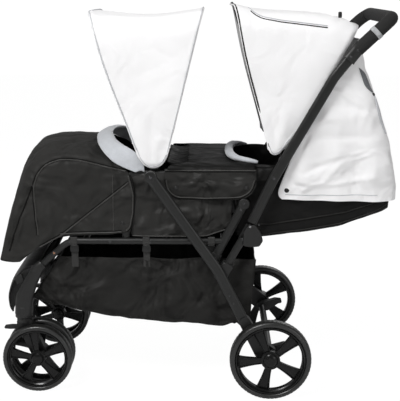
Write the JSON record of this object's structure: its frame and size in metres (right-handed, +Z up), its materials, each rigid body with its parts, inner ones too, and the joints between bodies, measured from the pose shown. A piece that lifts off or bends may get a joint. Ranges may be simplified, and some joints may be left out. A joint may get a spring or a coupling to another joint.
{
  "type": "tandem stroller",
  "caption": "Folding tandem stroller with a seat behind a seat, two canopies, a foot cover, a basket, twin front casters and braked rear wheels.",
  "frame": {"origin": "middle of the bounding box on the ground plane", "axes": "+X towards the parent's handle, so the children face -X; +Y to the stroller's right; +Z up"},
  "size_m": [1.06, 0.534, 1.04],
  "materials": {
    "tube_paint": "semi-matte black paint",
    "black_plastic": "fine-textured black",
    "wheel_plastic": "glossy black",
    "steel": "zinc plated",
    "black_cloth": "woven black polyester",
    "white_cloth": "woven white polyester",
    "grey_fleece": "grey fleece and ribbon",
    "foam_grip": "foam",
    "tyre": "smooth with fine grooves"
  },
  "bodies": {
    "seat_frame": {"side_frame_left": "tube_paint", "side_frame_right": "tube_paint", "cross_tube_front": "tube_paint", "cross_tube_middle": "tube_paint", "rear_uprights": "tube_paint", "upper_rail_left": "tube_paint", "upper_rail_right": "tube_paint", "lower_leg_left": "black_plastic", "lower_leg_right": "black_plastic", "front_footrest": "black_plastic", "front_tub": "black_cloth", "rear_tub": "black_cloth", "front_seat_pad": "black_cloth", "rear_seat_pad": "black_cloth", "front_leg_cover": "black_cloth", "front_collar": "grey_fleece", "rear_collar": "grey_fleece", "rear_shell": "black_cloth", "rear_cover": "black_cloth", "basket": "black_cloth", "front_canopy": "white_cloth", "front_canopy_rear_bow": "steel"},
    "front_bow": {"front_canopy_front_bow": "steel"},
    "front_backrest": {"front_backrest": "black_cloth"},
    "rear_backrest": {"rear_backrest_board": "black_plastic", "rear_backrest_pad": "black_cloth"},
    "rear_legs": {"rear_leg_left": "tube_paint", "rear_leg_right": "tube_paint", "axle_bracket_left": "black_plastic", "axle_bracket_right": "black_plastic", "rear_axle": "steel"},
    "brake_left": {"brake_pedal_left": "black_plastic"},
    "brake_right": {"brake_pedal_right": "black_plastic"},
    "push_bar": {"push_bar_left": "tube_paint", "push_bar_right": "tube_paint", "handle_bar": "tube_paint", "handle_grip": "foam_grip", "wrist_strap": "grey_fleece", "rear_canopy": "white_cloth", "rear_back_panel": "white_cloth"},
    "rear_bow": {"rear_canopy_bow": "steel"},
    "knee_links": {"knee_stub_left": "tube_paint", "knee_stub_right": "tube_paint"},
    "caster_left": {"caster_fork_left": "black_plastic"},
    "caster_right": {"caster_fork_right": "black_plastic"},
    "lock_left": {"swivel_lock_left": "black_plastic"},
    "lock_right": {"swivel_lock_right": "black_plastic"},
    "rear_wheel_left": {"rear_wheel_left_rim": "wheel_plastic", "rear_wheel_left_tyre": "tyre"},
    "front_wheel_left_outer": {"front_wheel_left_outer_rim": "wheel_plastic", "front_wheel_left_outer_tyre": "tyre"},
    "front_wheel_left_inner": {"front_wheel_left_inner_rim": "wheel_plastic", "front_wheel_left_inner_tyre": "tyre"},
    "rear_wheel_right": {"rear_wheel_right_rim": "wheel_plastic", "rear_wheel_right_tyre": "tyre"},
    "front_wheel_right_outer": {"front_wheel_right_outer_rim": "wheel_plastic", "front_wheel_right_outer_tyre": "tyre"},
    "front_wheel_right_inner": {"front_wheel_right_inner_rim": "wheel_plastic", "front_wheel_right_inner_tyre": "tyre"}
  },
  "joints": [
    {"name": "frame_fold", "type": "hinge", "parent": "seat_frame", "child": "push_bar", "pos_m": [0.204, 0, 0.598], "axis": [0, 1, 0], "range_deg": [0, 66.2], "deforming": ["rear_back_panel"]},
    {"name": "rear_leg_fold", "type": "hinge", "parent": "seat_frame", "child": "rear_legs", "pos_m": [-0.119, 0, 0.604], "axis": [0, -1, 0], "range_deg": [-0.5, 38.6]},
    {"name": "knee_fold", "type": "hinge", "parent": "push_bar", "child": "knee_links", "pos_m": [0.146, 0, 0.474], "axis": [0, -1, 0], "range_deg": [-0.5, 152]},
    {"name": "front_hood_close", "type": "hinge", "parent": "seat_frame", "child": "front_bow", "pos_m": [-0.114, 0, 0.6263], "axis": [0, 1, 0], "range_deg": [0, 35], "deforming": ["front_canopy"]},
    {"name": "rear_hood_close", "type": "hinge", "parent": "push_bar", "child": "rear_bow", "pos_m": [0.228, 0, 0.64], "axis": [0, 1, 0], "range_deg": [0, 40], "deforming": ["rear_canopy"]},
    {"name": "rear_backrest_raise", "type": "hinge", "parent": "seat_frame", "child": "rear_backrest", "pos_m": [0.1005, 0, 0.4725], "axis": [0, -1, 0], "range_deg": [0, 50]},
    {"name": "front_backrest_recline", "type": "hinge", "parent": "seat_frame", "child": "front_backrest", "pos_m": [-0.075, 0, 0.42], "axis": [0, 1, 0], "range_deg": [0, 10]},
    {"name": "brake_press_left", "type": "hinge", "parent": "rear_legs", "child": "brake_left", "pos_m": [0.2, -0.186, 0.11], "axis": [0, 1, 0], "range_deg": [0, 25]},
    {"name": "brake_press_right", "type": "hinge", "parent": "rear_legs", "child": "brake_right", "pos_m": [0.2, 0.186, 0.11], "axis": [0, 1, 0], "range_deg": [-0.5, 25.5]},
    {"name": "rear_wheel_spin_left", "type": "hinge", "parent": "rear_legs", "child": "rear_wheel_left", "pos_m": [0.2, -0.25, 0.11], "axis": [0, 1, 0], "continuous": true},
    {"name": "caster_swivel_left", "type": "hinge", "parent": "seat_frame", "child": "caster_left", "pos_m": [-0.474, -0.18, 0.2], "axis": [0, 0, 1], "continuous": true},
    {"name": "swivel_lock_left", "type": "hinge", "parent": "caster_left", "child": "lock_left", "pos_m": [-0.492, -0.18, 0.176], "axis": [0, 1, 0], "range_deg": [0, 20]},
    {"name": "front_wheel_spin_left_outer", "type": "hinge", "parent": "caster_left", "child": "front_wheel_left_outer", "pos_m": [-0.435, -0.208, 0.095], "axis": [0, 1, 0], "continuous": true},
    {"name": "front_wheel_spin_left_inner", "type": "hinge", "parent": "caster_left", "child": "front_wheel_left_inner", "pos_m": [-0.435, -0.152, 0.095], "axis": [0, 1, 0], "continuous": true},
    {"name": "rear_wheel_spin_right", "type": "hinge", "parent": "rear_legs", "child": "rear_wheel_right", "pos_m": [0.2, 0.25, 0.11], "axis": [0, 1, 0], "continuous": true},
    {"name": "caster_swivel_right", "type": "hinge", "parent": "seat_frame", "child": "caster_right", "pos_m": [-0.474, 0.18, 0.2], "axis": [0, 0, 1], "continuous": true},
    {"name": "swivel_lock_right", "type": "hinge", "parent": "caster_right", "child": "lock_right", "pos_m": [-0.492, 0.18, 0.176], "axis": [0, 1, 0], "range_deg": [0, 20]},
    {"name": "front_wheel_spin_right_outer", "type": "hinge", "parent": "caster_right", "child": "front_wheel_right_outer", "pos_m": [-0.435, 0.208, 0.095], "axis": [0, 1, 0], "continuous": true},
    {"name": "front_wheel_spin_right_inner", "type": "hinge", "parent": "caster_right", "child": "front_wheel_right_inner", "pos_m": [-0.435, 0.152, 0.095], "axis": [0, 1, 0], "continuous": true}
  ],
  "couplings": [
    {"joint": "rear_leg_fold", "follows": "frame_fold", "ratio": 0.574},
    {"joint": "knee_fold", "follows": "frame_fold", "ratio": 2.286},
    {"joint": "brake_press_right", "follows": "brake_press_left", "ratio": 1}
  ]
}
